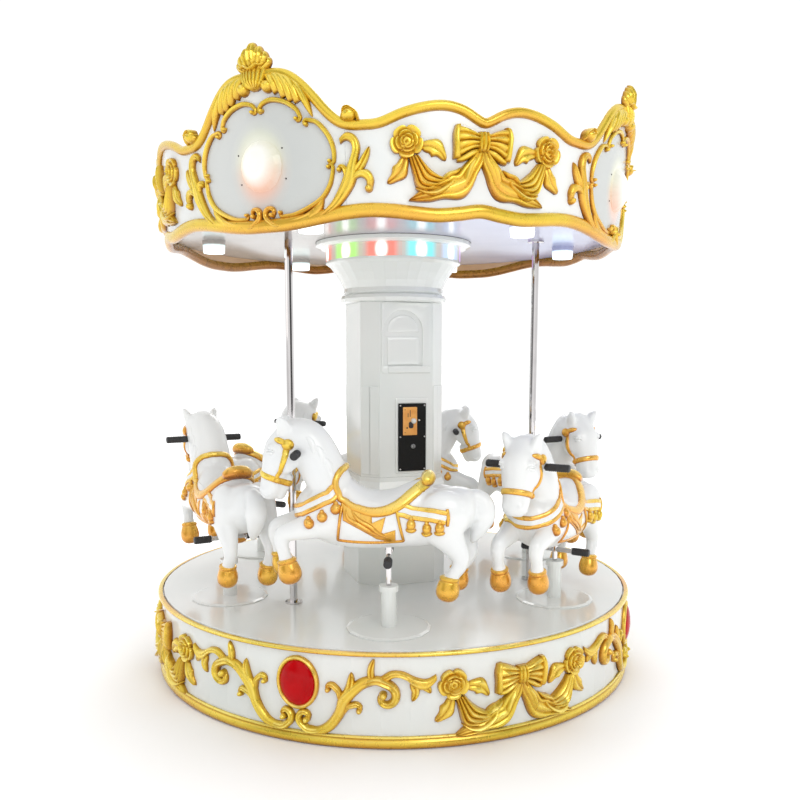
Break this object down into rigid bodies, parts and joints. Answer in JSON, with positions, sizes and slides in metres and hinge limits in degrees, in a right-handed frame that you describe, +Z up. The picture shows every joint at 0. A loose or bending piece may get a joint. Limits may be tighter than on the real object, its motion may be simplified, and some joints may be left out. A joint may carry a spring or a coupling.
{
  "type": "fairground carousel",
  "caption": "Small coin-operated fairground carousel: a turning deck with horses on sliding rods, a centre column, bright poles and a scalloped canopy on a round base with gold rims.",
  "frame": {"origin": "centre of the base's underside, on the ground", "axes": "+Z up along the turntable's axis; -Y runs out through the middle of one base cabochon"},
  "size_m": [2.2, 2.2, 2.451],
  "materials": {
    "white_gelcoat": "glossy white fibreglass",
    "horse_gelcoat": "glossy white fibreglass with gold painted tack",
    "ceiling_gelcoat": "mirror-gloss white fibreglass",
    "gold_paint": "gloss gold paint",
    "polished_steel": "polished stainless tube",
    "black_plastic": "black hand grips",
    "black_panel": "satin black sheet",
    "light_band": "translucent diffuser over coloured lamps",
    "lamp_glass": "warm white lamp dome",
    "jewel_red": "red cast cabochon"
  },
  "bodies": {
    "base": {"base_drum": "white_gelcoat", "base_bottom_rim": "gold_paint", "base_top_rim": "gold_paint", "base_garland_1": "gold_paint", "base_garland_2": "gold_paint", "base_garland_3": "gold_paint", "base_garland_4": "gold_paint"},
    "ride": {"deck": "white_gelcoat", "column_plinth": "white_gelcoat", "column_shaft": "white_gelcoat", "column_capital": "white_gelcoat", "light_band": "light_band", "canopy_plate": "white_gelcoat", "coin_panel": "black_panel", "ceiling": "ceiling_gelcoat", "canopy_pole_1": "polished_steel", "canopy_pole_2": "polished_steel", "canopy_pole_3": "polished_steel", "cartouche_panel_1": "white_gelcoat", "garland_panel_1": "white_gelcoat", "cartouche_lamp_1": "lamp_glass", "cartouche_panel_2": "white_gelcoat", "garland_panel_2": "white_gelcoat", "cartouche_lamp_2": "lamp_glass", "cartouche_panel_3": "white_gelcoat", "garland_panel_3": "white_gelcoat", "cartouche_lamp_3": "lamp_glass", "cartouche_panel_4": "white_gelcoat", "garland_panel_4": "white_gelcoat", "cartouche_lamp_4": "lamp_glass", "canopy_garland_1": "gold_paint", "canopy_garland_2": "gold_paint", "canopy_garland_3": "gold_paint", "canopy_garland_4": "gold_paint", "horse_post_1": "white_gelcoat", "horse_post_2": "white_gelcoat", "horse_post_3": "white_gelcoat", "horse_post_4": "white_gelcoat", "horse_post_5": "white_gelcoat", "horse_post_6": "white_gelcoat"},
    "horse_1": {"horse_1": "horse_gelcoat", "horse_rod_1": "polished_steel", "horse_handle_1": "black_plastic"},
    "horse_2": {"horse_2": "horse_gelcoat", "horse_rod_2": "polished_steel", "horse_handle_2": "black_plastic"},
    "horse_3": {"horse_3": "horse_gelcoat", "horse_rod_3": "polished_steel", "horse_handle_3": "black_plastic"},
    "horse_4": {"horse_4": "horse_gelcoat", "horse_rod_4": "polished_steel", "horse_handle_4": "black_plastic"},
    "horse_5": {"horse_5": "horse_gelcoat", "horse_rod_5": "polished_steel", "horse_handle_5": "black_plastic"},
    "horse_6": {"horse_6": "horse_gelcoat", "horse_rod_6": "polished_steel", "horse_handle_6": "black_plastic"}
  },
  "joints": [
    {"name": "turntable_spin", "type": "hinge", "parent": "base", "child": "ride", "pos_m": [0, 0, 0.3], "axis": [0, 0, -1], "continuous": true},
    {"name": "horse_1_lift", "type": "slide", "parent": "ride", "child": "horse_1", "axis": [0, 0, 1], "range_m": [-0.086, 0.014]},
    {"name": "horse_2_lift", "type": "slide", "parent": "ride", "child": "horse_2", "axis": [0, 0, 1], "range_m": [-0.017, 0.083]},
    {"name": "horse_3_lift", "type": "slide", "parent": "ride", "child": "horse_3", "axis": [0, 0, 1], "range_m": [-0.044, 0.056]},
    {"name": "horse_4_lift", "type": "slide", "parent": "ride", "child": "horse_4", "axis": [0, 0, 1], "range_m": [-0.02, 0.08]},
    {"name": "horse_5_lift", "type": "slide", "parent": "ride", "child": "horse_5", "axis": [0, 0, 1], "range_m": [-0.07, 0.03]},
    {"name": "horse_6_lift", "type": "slide", "parent": "ride", "child": "horse_6", "axis": [0, 0, 1], "range_m": [-0.063, 0.037]}
  ]
}
